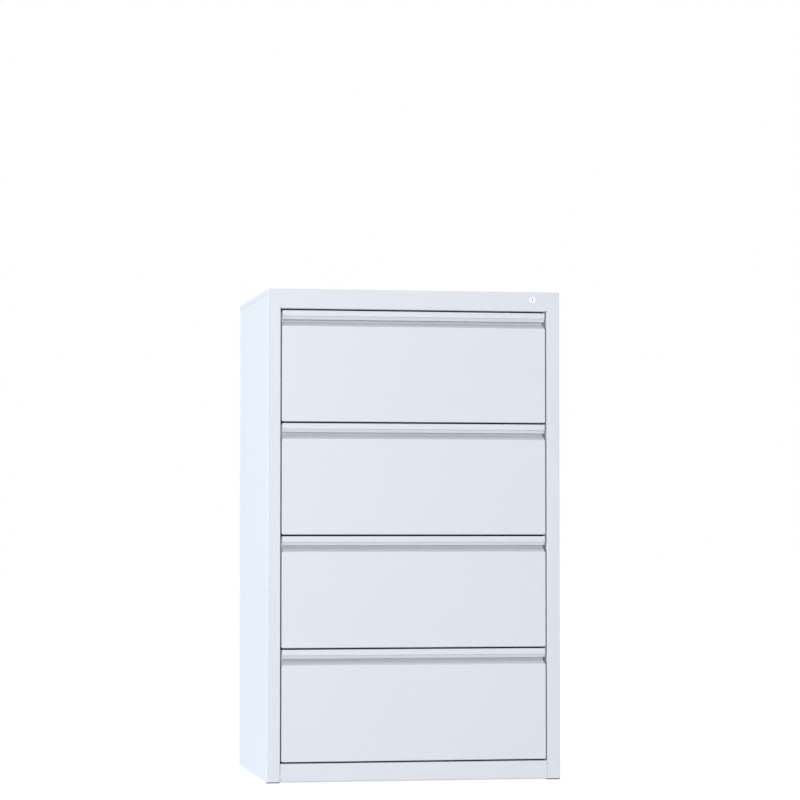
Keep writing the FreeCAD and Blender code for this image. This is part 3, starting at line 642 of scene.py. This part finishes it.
# ---- casing ----------------------------------------------------------------------
@dataclass
class Casing:
    """The standing shell: sides with their stiles, top, rails, plinth and back."""

    rack: FinishRack
    bend: float = 1.5 * MM
    stile_return: float = 25.0 * MM
    stile_width: float = 35.5 * MM
    rear_return: float = 20.0 * MM
    top_rail: float = 53.0 * MM
    rim_depth: float = 14.0 * MM
    seam: float = 0.5 * MM
    foot_height: float = 2.7 * MM
    roll: float = 2.0 * MM
    backing_drop: float = 16.0 * MM
    rib_depth: float = 1.8 * MM
    rib_width: float = 46.0 * MM
    rib_slope: float = 3.5 * MM

    def __post_init__(self) -> None:
        """Reads the shell's corners from the frame."""
        low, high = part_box("side_panel_right")
        self.half = high.x
        self.front = low.y
        self.rear = high.y
        self.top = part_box("top_panel")[1].z
        self.opening_top = self.top - self.top_rail
        self.stile_x = self.half - self.stile_width

    def build(self) -> None:
        """Builds every panel."""
        for side, sign in (("right", 1), ("left", -1)):
            self.side_panel(side, sign)
        self.top_panel()
        self.rail("top_rail", self.opening_top)
        self.plinth()
        self.back_panel()

    def side_panel(self, side: str, sign: int) -> None:
        """One side with its stile, rear return and the strip behind the top's rim."""
        mid = SHEET / 2
        corners = [(self.stile_x + mid, self.front + self.stile_return),
                   (self.stile_x + mid, self.front + mid), (self.half - mid, self.front + mid),
                   (self.half - mid, self.rear - mid),
                   (self.half - self.rear_return, self.rear - mid)]
        flat = self.stile_x + self.bend + mid
        path = rounded_path(corners, self.bend)
        rim = self.top - self.rim_depth - self.seam
        levels = (self.foot_height, self.opening_top, rim, self.top)

        def keep(point: Point2, height: float) -> bool:
            """The stile's return stops under the rail, and the side under the top's rim."""
            if height > rim:
                return point[0] > flat and point[1] < self.front + self.bend + mid
            return height < self.opening_top or point[0] > flat

        def place(x: float, y: float, z: float) -> Vector:
            """Plan point on this side of the cabinet."""
            return Vector((sign * x, y, z))

        sheet = SheetBuilder(f"{side}_side_shell").grid(path, levels, place, keep)
        inner = self.half - 1.5 * SHEET
        backing = [(inner, self.front + 6 * MM), (inner, self.rear - 6 * MM)]
        span = (self.top - self.rim_depth - self.backing_drop, self.top - 3 * MM)
        sheet.strip(backing, place, [span, span])
        floor = self.foot_height + mid
        flange = [(self.half - 21 * MM, floor), (self.half - SHEET, floor)]
        reach = (self.front + 6 * MM, self.rear - 2.5 * MM)
        sheet.strip(flange, lambda x, z, y: Vector((sign * x, y, z)), [reach, reach])
        self.rack.hand_over(sheet.done(), CABINET, Slot.PAINT, [f"side_panel_{side}"])

    def top_panel(self) -> None:
        """Top sheet with its rolled rim down both sides and the back."""
        sheet = SheetBuilder("top_sheet")
        start = self.front + SHEET
        sheet.pan(self.half, self.rear - start, 2.5 * MM, self.roll, self.rim_depth,
                  lambda x, reach, depth: Vector((x, start + reach, self.top - depth)))
        self.rack.hand_over(sheet.done(-1.0), CABINET, Slot.PAINT, ["top_panel"])

    def rail(self, node: str, bottom: float) -> None:
        """Top rail between the stiles, folded back over the drawers."""
        mid = SHEET / 2
        low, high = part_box(node)
        corners = [(self.front + mid, high.z), (self.front + mid, bottom + mid),
                   (high.y, bottom + mid)]
        path = rounded_path(corners, self.bend)
        wide, narrow = (low.x, high.x), (-self.stile_x, self.stile_x)
        spans = [wide if y < self.front + SHEET and z > bottom + self.bend else narrow
                 for y, z in path]
        face_end = (path[0][0], bottom + self.bend + mid)
        path = [path[0], face_end] + path[1:]
        spans = [wide, wide] + [narrow] * (len(path) - 2)
        sheet = SheetBuilder("top_rail_shell")
        sheet.strip(path[:2], lambda y, z, x: Vector((x, y, z)), spans[:2])
        sheet.strip(path[1:], lambda y, z, x: Vector((x, y, z)), spans[2:] + [narrow])
        self.rack.hand_over(sheet.done(), CABINET, Slot.PAINT, [node])

    def plinth(self) -> None:
        """Kick rail, folded back at its top and its foot."""
        mid = SHEET / 2
        low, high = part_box("plinth_rail")
        corners = [(high.y, high.z - mid), (low.y + mid, high.z - mid),
                   (low.y + mid, low.z + mid), (low.y + 20 * MM, low.z + mid)]
        path = rounded_path(corners, self.bend)
        sheet = SheetBuilder("plinth_shell")
        sheet.strip(path, lambda y, z, x: Vector((x, y, z)), [(low.x, high.x)] * len(path))
        self.rack.hand_over(sheet.done(), CABINET, Slot.PAINT, ["plinth_rail"])

    def back_panel(self) -> None:
        """Back sheet with two stiffening channels pressed inwards."""
        low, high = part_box("back_panel")
        middle = (low.y + high.y) / 2
        raised = middle - self.rib_depth
        path: list[Point2] = [(low.x, middle)]
        for centre in (low.x / 2, high.x / 2):
            half = self.rib_width / 2
            path += [(centre - half, middle), (centre - half + self.rib_slope, raised),
                     (centre + half - self.rib_slope, raised), (centre + half, middle)]
        path.append((high.x, middle))
        sheet = SheetBuilder("back_sheet")
        sheet.strip(path, lambda x, y, z: Vector((x, y, z)), [(low.z, high.z)] * len(path))
        self.rack.hand_over(sheet.done(), CABINET, Slot.PAINT, ["back_panel"])


# ---- drawer fronts ---------------------------------------------------------------
@dataclass
class DrawerFront:
    """One pressed front: flat panel, sloped recess floor and the lipped grip above it."""

    rack: FinishRack
    number: int
    corner: float = 4.5 * MM
    roll: float = 1.8 * MM
    recess_depth: float = 27.0 * MM
    lip_height: float = 15.0 * MM
    lip_turn_height: float = 9.0 * MM
    lip_turn_depth: float = 7.5 * MM
    lip_ledge: float = 2.4 * MM
    lip_bend: float = 0.8 * MM
    recess_wall: float = 29.0 * MM
    recess_height: float = 42.3 * MM
    lip_trim: float = 1.6 * MM
    recess_trim: float = 4.5 * MM
    bend: float = 1.5 * MM

    def __post_init__(self) -> None:
        """Reads the front's corners from the frame."""
        low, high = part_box(f"drawer_front_{self.number}")
        self.half = high.x
        self.front, self.depth = low.y, high.y - low.y
        self.bottom, self.top = low.z, high.z
        self.fold = self.top - self.recess_height

    def build(self) -> None:
        """Builds the pressing and dresses its panel and grip."""
        panel = SheetBuilder(f"front_panel_{self.number}")
        self.add_panel(panel)
        skin = panel.done(-1.0)
        grip = SheetBuilder(f"front_grip_{self.number}")
        self.add_grip(grip)
        body = f"drawer_{self.number}"
        node = [f"drawer_front_{self.number}"]
        self.rack.hand_over(skin, body, Slot.PAINT, node)
        self.rack.hand_over(grip.done(edge=0.35 * MM), body, Slot.PAINT, node)

    def add_panel(self, sheet: SheetBuilder) -> None:
        """Flat panel with rolled edges, and the sloped floor of the recess."""
        rise = self.recess_height - self.recess_wall
        slope = math.atan2(rise, self.depth)
        bend = math.pi / 2 - slope
        tangent = self.roll * math.tan(bend / 2)
        crease = self.fold - tangent
        sheet.pan(self.half, crease - self.bottom, self.corner, self.roll, self.depth,
                  lambda x, reach, depth: Vector((x, self.front + depth, crease - reach)))
        steps = 5
        path = [(0.0, crease)]
        for k in range(1, steps + 1):
            angle = bend * k / steps
            path.append((self.roll * (1 - math.cos(angle)), crease + self.roll * math.sin(angle)))
        path.append((self.depth - SHEET, self.fold + (self.depth - SHEET) * math.tan(slope)))
        narrowing = (self.recess_trim - self.roll) / self.depth
        spans = []
        for back, _ in path:
            half = self.half - self.roll - narrowing * back
            spans.append((-half, half))
        sheet.strip(path, lambda back, z, x: Vector((x, self.front + back, z)), spans)

    def add_grip(self, sheet: SheetBuilder) -> None:
        """Turned-in lip, top fold and the recess's back wall, as one bent sheet."""
        mid = SHEET / 2
        corners = [(self.lip_turn_depth, self.top - self.lip_height - self.lip_turn_height),
                   (self.lip_ledge + mid, self.top - self.lip_height),
                   (mid, self.top - self.lip_height), (mid, self.top - mid),
                   (self.recess_depth + mid, self.top - mid),
                   (self.recess_depth + mid, self.top - self.recess_wall - SHEET)]
        path = rounded_path(corners, [self.lip_bend, self.lip_bend, self.bend, self.bend])
        step = self.recess_depth - 2 * self.bend
        index = next(k for k, (back, _) in enumerate(path) if k > 6 and back > step)
        path[index:index] = [(step, self.top - mid)]
        lip, wall = self.half - self.lip_trim, self.half - self.recess_trim

        def place(back: float, z: float, x: float) -> Vector:
            """Section point at a distance across the front."""
            return Vector((x, self.front + back, z))

        sheet.strip(path[:index + 1], place, [(-lip, lip)] * (index + 1))
        sheet.strip(path[index:], place, [(-wall, wall)] * (len(path) - index))


# ---- lock ------------------------------------------------------------------------
@dataclass
class CylinderLock:
    """Round lock on the top rail: enamelled face, nickel core, and a black plug that paints the
    keyway's shade.
    """

    rack: FinishRack
    face_edge: float = 0.5 * MM
    ring_width: float = 0.45 * MM
    core_edge: float = 0.35 * MM
    keyway_width: float = 1.6 * MM
    keyway_height: float = 7.0 * MM
    keyway_depth: float = 9.0 * MM
    # how far under the face sits the black plug that paints the keyway's shade
    shade_plug_depth: float = 0.35 * MM

    def __post_init__(self) -> None:
        """Reads the lock's axis and radii from the frame."""
        low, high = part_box("lock_housing")
        self.face_radius = (high.x - low.x) / 2
        self.front, self.back = low.y, high.y
        self.axis = Vector(((low.x + high.x) / 2, low.y, (low.z + high.z) / 2))
        low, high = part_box("lock_core")
        self.core_radius = (high.x - low.x) / 2
        self.core_length = high.y - low.y

    def build(self) -> None:
        """Builds the housing, the core and the black plug that paints the keyway's shade."""
        edge, proud = self.face_edge, 1.0 * MM
        bore = self.core_radius + 0.05 * MM
        body = 9.0 * MM
        depth = self.back - self.front
        housing = [(bore, 0.6 * MM), (bore + self.ring_width, 0.15 * MM),
                   (bore + 2 * self.ring_width, 0.0), (self.face_radius - edge, 0.0),
                   (self.face_radius - 0.3 * edge, 0.25 * edge), (self.face_radius, edge),
                   (self.face_radius, proud), (body, proud), (body, depth), (bore, depth)]
        piece = lathe("lock_face", housing, self.axis, Vector((0, 1, 0)))
        self.rack.hand_over(piece, CABINET, Slot.LOCK_FACE, ["lock_housing"])
        self.rack.hand_over(self.core(), "lock_barrel", Slot.LOCK_CORE, ["lock_core"])
        # Painted shade: a thin black plug just under the face fills the keyway so that the slot
        # reads dark.
        half = Vector((self.keyway_width / 2, 0.0, self.keyway_height / 2))
        depth = Vector((0.0, self.shade_plug_depth, 0.0))
        low = self.axis - half + depth
        shade_plug = moulded_block("keyway_painted_shade_plug", [(low, self.axis + half + 2 * depth)],
                                0.1 * MM)
        self.rack.hand_over(shade_plug, "lock_barrel", Slot.PLASTIC)

    def core(self) -> bpy.types.Object:
        """Turned core with its keyway cut through the front."""
        edge = self.core_edge
        profile = [(0.0, 0.12 * MM), (self.core_radius - edge, 0.12 * MM),
                   (self.core_radius, 0.12 * MM + edge), (self.core_radius, self.core_length),
                   (0.0, self.core_length)]
        core = lathe("lock_core_turned", profile, self.axis, Vector((0, 1, 0)), 48)
        cutter = bpy.data.meshes.new("keyway")
        tool = bmesh.new()
        bmesh.ops.create_cube(tool, size=1.0, matrix=Matrix.Translation(self.axis) @ Matrix.Diagonal(
            (self.keyway_width, 2 * self.keyway_depth, self.keyway_height, 1)))
        tool.to_mesh(cutter)
        tool.free()
        blade = bpy.data.objects.new("keyway", cutter)
        bpy.context.scene.collection.objects.link(blade)
        cut = core.modifiers.new("keyway", "BOOLEAN")
        cut.object = blade
        cut.operation = "DIFFERENCE"
        cut.solver = "EXACT"
        core.name = "lock_core_blank"
        piece = freeze(core, "lock_core_keyed")
        bpy.data.objects.remove(blade)
        bpy.data.meshes.remove(cutter)
        return piece


# ---- fittings made of repeats ----------------------------------------------------
@dataclass
class BackScrews:
    """Domed cross-head screws down both rear returns."""

    rack: FinishRack
    radius: float = 4.0 * MM
    slot_width: float = 0.9 * MM
    slot_length: float = 4.4 * MM
    slot_depth: float = 0.8 * MM
    count: int = 5
    rise: float = 1.2 * MM

    def build(self) -> None:
        """Builds the screws as one piece."""
        low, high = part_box("back_screws")
        recipe = GeometryRecipe("cross_head_screws")
        radius = recipe.size("Head radius", self.radius)
        rise = recipe.size("Head height", self.rise)
        count = recipe.size("Screws in a row", self.count, "NodeSocketInt")
        spacing = recipe.size("Spacing", (high.z - low.z - 2 * self.radius) / (self.count - 1))
        slot = recipe.size("Slot", (self.slot_length, self.slot_width, 2 * self.slot_depth),
                           "NodeSocketVector")
        head = recipe.add("GeometryNodeMeshUVSphere", {},
                          {"Segments": 32, "Rings": 16, "Radius": radius})
        ratio = recipe.add("ShaderNodeMath", {"operation": "DIVIDE"}, {0: rise, 1: radius})
        dome = recipe.add("GeometryNodeTransform", {},
                          {0: head, "Scale": recipe.vector(1.0, 1.0, ratio)})
        bar = recipe.add("GeometryNodeMeshCube", {}, {"Size": slot})
        lifted = recipe.add("GeometryNodeTransform", {},
                            {0: bar, "Translation": recipe.vector(0.0, 0.0, rise)})
        crossed = recipe.add("GeometryNodeTransform", {},
                             {0: lifted, "Rotation": (0, 0, math.pi / 2)})
        cut = {"operation": "DIFFERENCE", "solver": "EXACT"}
        first = recipe.add("GeometryNodeMeshBoolean", cut, {0: dome, 1: lifted})
        second = recipe.add("GeometryNodeMeshBoolean", cut, {0: first, 1: crossed})
        turned = recipe.add("GeometryNodeTransform", {},
                            {0: second, "Rotation": (-math.pi / 2, 0, 0)})
        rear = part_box("side_panel_right")[1].y
        rows = []
        for x in (low.x + self.radius, high.x - self.radius):
            rows.append(recipe.add("GeometryNodeMeshLine", {"mode": "OFFSET"},
                                   {"Count": count, "Start Location": (x, rear, low.z + self.radius),
                                    "Offset": recipe.vector(0.0, 0.0, spacing)}))
        placed = recipe.add("GeometryNodeInstanceOnPoints", {},
                            {0: recipe.join(*rows), "Instance": turned})
        piece = recipe.finish(placed, "back_screw_heads", self.rack.by_slot[Slot.ZINC])
        self.rack.hand_over(smooth(piece), CABINET, Slot.ZINC, ["back_screws"])


@dataclass
class LevellingFeet:
    """Four glides: a ribbed moulded pad on a threaded stem."""

    rack: FinishRack
    pad_height: float = 2.7 * MM
    pad_radius: float = 17.0 * MM
    rib_count: int = 36
    stem_radius: float = 4.0 * MM
    stem_length: float = 34.0 * MM
    thread_pitch: float = 1.25 * MM
    side_inset: float = 30.0 * MM
    depth_inset: float = 56.0 * MM
    cap_margin: float = 0.5 * MM
    cap_play: float = 1.5 * MM
    cap_depth: float = 24.5 * MM
    cap_flange: float = 21.5 * MM
    cap_spigot: float = 8.0 * MM

    def build(self) -> None:
        """Builds the feet and the caps."""
        self.caps()
        self.feet()

    def caps(self) -> None:
        """Plastic caps under the ends of the two stiles."""
        low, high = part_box("side_panel_right")
        margin, play = self.cap_margin, SHEET + self.cap_play
        front, stile = low.y, low.x
        back = front + self.cap_depth
        spigot_end = high.x - self.cap_flange
        boxes = []
        for sign in (-1, 1):
            for x0, x1, y0, y1, z0, z1 in (
                    (stile + margin, high.x - margin, front + margin, back, 0.0, self.pad_height),
                    (stile + play, spigot_end, front + play, back - play, self.pad_height,
                     self.pad_height + self.cap_spigot)):
                ends = sorted((sign * x0, sign * x1))
                boxes.append((Vector((ends[0], y0, z0)), Vector((ends[1], y1, z1))))
        piece = moulded_block("stile_glide_caps", boxes, 0.3 * MM)
        self.rack.hand_over(piece, CABINET, Slot.PLASTIC, ["levelling_feet"])

    def feet(self) -> None:
        """Builds the four feet as one piece."""
        recipe = GeometryRecipe("glide_feet")
        radius = recipe.size("Pad radius", self.pad_radius)
        height = recipe.size("Pad height", self.pad_height)
        ribs = recipe.size("Ribs", self.rib_count, "NodeSocketInt")
        stem = recipe.size("Stem radius", self.stem_radius)
        pitch = recipe.size("Thread pitch", self.thread_pitch)
        length = recipe.size("Stem length", self.stem_length)
        half = recipe.add("ShaderNodeMath", {"operation": "MULTIPLY"}, {0: height, 1: 0.5})
        inner = recipe.add("ShaderNodeMath", {"operation": "SUBTRACT"}, {0: radius, 1: 0.5 * MM})
        disc = recipe.add("GeometryNodeMeshCylinder", {},
                          {"Vertices": 64, "Radius": inner, "Depth": height})
        rib = recipe.add("GeometryNodeMeshCylinder", {},
                         {"Vertices": 10, "Radius": 0.5 * MM, "Depth": height})
        circle = recipe.add("GeometryNodeMeshCircle", {}, {"Vertices": ribs, "Radius": inner})
        ring = recipe.add("GeometryNodeInstanceOnPoints", {}, {0: circle, "Instance": rib})
        pad = recipe.add("GeometryNodeTransform", {},
                         {0: recipe.join(disc, ring), "Translation": recipe.vector(0.0, 0.0, half)})
        core_radius = recipe.add("ShaderNodeMath", {"operation": "SUBTRACT"},
                                 {0: stem, 1: 0.6 * MM})
        shank = recipe.add("GeometryNodeMeshCylinder", {},
                           {"Vertices": 24, "Radius": core_radius, "Depth": length})
        stem_middle = recipe.add("ShaderNodeMath", {"operation": "MULTIPLY_ADD"},
                                 {0: length, 1: 0.5, 2: height})
        shank = recipe.add("GeometryNodeTransform", {},
                           {0: shank, "Translation": recipe.vector(0.0, 0.0, stem_middle)})
        turn = recipe.add("GeometryNodeMeshCone", {},
                          {"Vertices": 24, "Radius Top": core_radius, "Radius Bottom": stem,
                           "Depth": pitch})
        turns = recipe.add("ShaderNodeMath", {"operation": "DIVIDE"}, {0: length, 1: pitch})
        turn_places = recipe.add("GeometryNodeMeshLine", {"mode": "OFFSET"},
                                 {"Count": turns, "Start Location": recipe.vector(0.0, 0.0, height),
                                  "Offset": recipe.vector(0.0, 0.0, pitch)})
        thread = recipe.add("GeometryNodeInstanceOnPoints", {},
                            {0: turn_places, "Instance": turn})
        foot = recipe.join(pad, shank, thread)
        low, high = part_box("side_panel_right")
        x, y = high.x - self.side_inset, high.y - self.depth_inset
        corners = recipe.add("GeometryNodeMeshGrid", {},
                             {"Size X": 2 * x, "Size Y": 2 * y, "Vertices X": 2, "Vertices Y": 2})
        placed = recipe.add("GeometryNodeInstanceOnPoints", {},
                            {0: corners, "Instance": foot})
        piece = recipe.finish(placed, "levelling_glides", self.rack.by_slot[Slot.PLASTIC])
        self.rack.hand_over(smooth(piece), CABINET, Slot.PLASTIC, ["levelling_feet"])


@dataclass
class DrawerFittings:
    """Finishes behind one front: liner, tray, rails and slides, with their spot welds."""

    rack: FinishRack
    number: int
    weld_radius: float = 2.6 * MM
    weld_height: float = 0.18 * MM
    weld_pitch: float = 60.0 * MM
    weld_inset: float = 14.0 * MM

    def build(self) -> None:
        """Dresses the drawer's nodes and adds its welds."""
        for kind, slot in (("front_liner", Slot.PAINT), ("tray", Slot.PAINT),
                           ("tray_back", Slot.PAINT), ("file_rails", Slot.ZINC),
                           ("buffers", Slot.RUBBER), ("lock_catch", Slot.ZINC),
                           ("slide_inner", Slot.SLIDE), ("slide_middle", Slot.SLIDE),
                           ("slide_outer", Slot.SLIDE)):
            self.rack.dress_node(f"{kind}_{self.number}", slot)
        self.welds()

    def welds(self) -> None:
        """Rows of spot welds down both edges of the liner's back."""
        low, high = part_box(f"front_liner_{self.number}")
        recipe = GeometryRecipe("spot_welds")
        radius = recipe.size("Weld radius", self.weld_radius)
        height = recipe.size("Weld height", self.weld_height)
        pitch = recipe.size("Weld pitch", self.weld_pitch)
        count = int((high.z - low.z - 2 * self.weld_inset) / self.weld_pitch) + 1
        number = recipe.size("Welds in a row", count, "NodeSocketInt")
        bead = recipe.add("GeometryNodeMeshUVSphere", {},
                          {"Segments": 20, "Rings": 8, "Radius": radius})
        ratio = recipe.add("ShaderNodeMath", {"operation": "DIVIDE"}, {0: height, 1: radius})
        flat = recipe.add("GeometryNodeTransform", {},
                          {0: bead, "Scale": recipe.vector(1.0, ratio, 1.0)})
        rows = []
        for x in (low.x + self.weld_inset / 4, high.x - self.weld_inset / 4):
            rows.append(recipe.add("GeometryNodeMeshLine", {"mode": "OFFSET"},
                                   {"Count": number,
                                    "Start Location": (x, high.y, low.z + self.weld_inset),
                                    "Offset": recipe.vector(0.0, 0.0, pitch)}))
        placed = recipe.add("GeometryNodeInstanceOnPoints", {},
                            {0: recipe.join(*rows), "Instance": flat})
        piece = recipe.finish(placed, f"liner_welds_{self.number}",
                              self.rack.by_slot[Slot.PAINT])
        self.rack.hand_over(smooth(piece), f"drawer_{self.number}", Slot.PAINT)


# ---- studio ----------------------------------------------------------------------
@dataclass
class Studio:
    """Pale floor, soft lamps, white surroundings and the camera."""

    camera_place: tuple[float, float, float] = (-1.4068, -8.1382, 0.6712)
    heading: float = math.radians(9.9037)
    climb: float = math.radians(2.5448)
    lens: float = 132.70
    ambient: float = 0.50
    floor_size: float = 40.0
    floor_tone: tuple[float, float, float, float] = (0.35, 0.35, 0.35, 1)
    floor_lift: float = 0.80

    def build(self) -> None:
        """Sets up everything round the object."""
        self.camera()
        self.world()
        self.floor()
        self.lamp("front_softbox", (-2.6, -9.0, 2.3), (0.0, -4.0, -1.8), 4.0, 505.0)
        self.lamp("side_softbox", (-7.0, 0.4, 1.6), (-0.4, 0.0, 0.7), 4.0, 262.0,
                  (0.82, 0.93, 1.0))

    def camera(self) -> None:
        """Places the camera."""
        data = bpy.data.cameras.new("camera")
        data.lens = self.lens
        data.clip_end = 100.0
        camera = bpy.data.objects.new("camera", data)
        bpy.context.scene.collection.objects.link(camera)
        camera.location = self.camera_place
        camera.rotation_euler = (math.pi / 2 + self.climb, 0.0, -self.heading)
        bpy.context.scene.camera = camera

    def world(self) -> None:
        """Even light all round, which the camera and reflections see as white."""
        world = bpy.data.worlds.new("surroundings")
        world.use_nodes = True
        tree = world.node_tree
        tree.nodes.clear()
        path = tree.nodes.new("ShaderNodeLightPath")
        lit = tree.nodes.new("ShaderNodeBackground")
        lit.inputs[0].default_value = (1, 1, 1, 1)
        lit.inputs[1].default_value = self.ambient
        seen = tree.nodes.new("ShaderNodeBackground")
        seen.inputs[0].default_value = (1, 1, 1, 1)
        seen.inputs[1].default_value = 1.0
        either = tree.nodes.new("ShaderNodeMath")
        either.operation = "MAXIMUM"
        also = tree.nodes.new("ShaderNodeMath")
        also.operation = "MAXIMUM"
        tree.links.new(path.outputs["Is Camera Ray"], either.inputs[0])
        tree.links.new(path.outputs["Is Glossy Ray"], either.inputs[1])
        tree.links.new(either.outputs[0], also.inputs[0])
        tree.links.new(path.outputs["Is Transmission Ray"], also.inputs[1])
        mix = tree.nodes.new("ShaderNodeMixShader")
        tree.links.new(also.outputs[0], mix.inputs[0])
        tree.links.new(lit.outputs[0], mix.inputs[1])
        tree.links.new(seen.outputs[0], mix.inputs[2])
        output = tree.nodes.new("ShaderNodeOutputWorld")
        tree.links.new(mix.outputs[0], output.inputs[0])
        bpy.context.scene.world = world

    def floor(self) -> None:
        """Pale floor that keeps the object's soft shadow."""
        mesh = bmesh.new()
        bmesh.ops.create_grid(mesh, x_segments=1, y_segments=1, size=self.floor_size)
        data = bpy.data.meshes.new("floor")
        mesh.to_mesh(data)
        mesh.free()
        floor = bpy.data.objects.new("floor", data)
        bpy.context.scene.collection.objects.link(floor)
        graph = MaterialGraph("pale_floor")
        path = graph.add("ShaderNodeLightPath", {}, {})
        seen = Signal(graph, path.outputs["Is Camera Ray"])
        glossy = Signal(graph, path.outputs["Is Glossy Ray"])
        lift = (self.floor_lift, self.floor_lift, self.floor_lift, 1)
        graph.set(Base_Color=self.floor_tone, Roughness=0.9, Emission_Strength=1.0,
                  Emission_Color=graph.blend(seen + glossy, (0, 0, 0, 1), lift))
        data.materials.append(graph.material)

    def lamp(self, name: str, place: Sequence[float], target: Sequence[float], size: float,
             power: float, tint: Sequence[float] = (1.0, 1.0, 1.0)) -> None:
        """Adds one square soft lamp.

        Args:
            name: the lamp's name.
            place: where it stands.
            target: what it points at.
            size: its side.
            power: its power in watts.
            tint: its colour.
        """
        data = bpy.data.lights.new(name, "AREA")
        data.color = tint
        data.size = size
        data.energy = power
        lamp = bpy.data.objects.new(name, data)
        bpy.context.scene.collection.objects.link(lamp)
        lamp.location = place
        aim = Vector(target) - Vector(place)
        lamp.rotation_euler = aim.to_track_quat("-Z", "Y").to_euler()


def main() -> None:
    """Builds the studio, then the cabinet from its casing inwards."""
    logging.basicConfig(level=logging.INFO, format="%(name)s: %(message)s")
    bpy.context.scene.view_settings.view_transform = "Standard"
    Studio().build()
    rack = FinishRack()
    Casing(rack).build()
    for number in DRAWERS:
        DrawerFront(rack, number).build()
        DrawerFittings(rack, number).build()
    CylinderLock(rack).build()
    BackScrews(rack).build()
    LevellingFeet(rack).build()
    rack.dress_node("base_pan", Slot.PAINT)
    for node in ("front_upright_right", "front_upright_left", "rear_upright_right",
                 "rear_upright_left", "foot_brackets", "lock_nut", "lock_cam", "lock_bar"):
        rack.dress_node(node, Slot.ZINC)
    rack.dress_node("lock_bar_guides", Slot.PLASTIC)


if __name__ == "__main__":
    main()
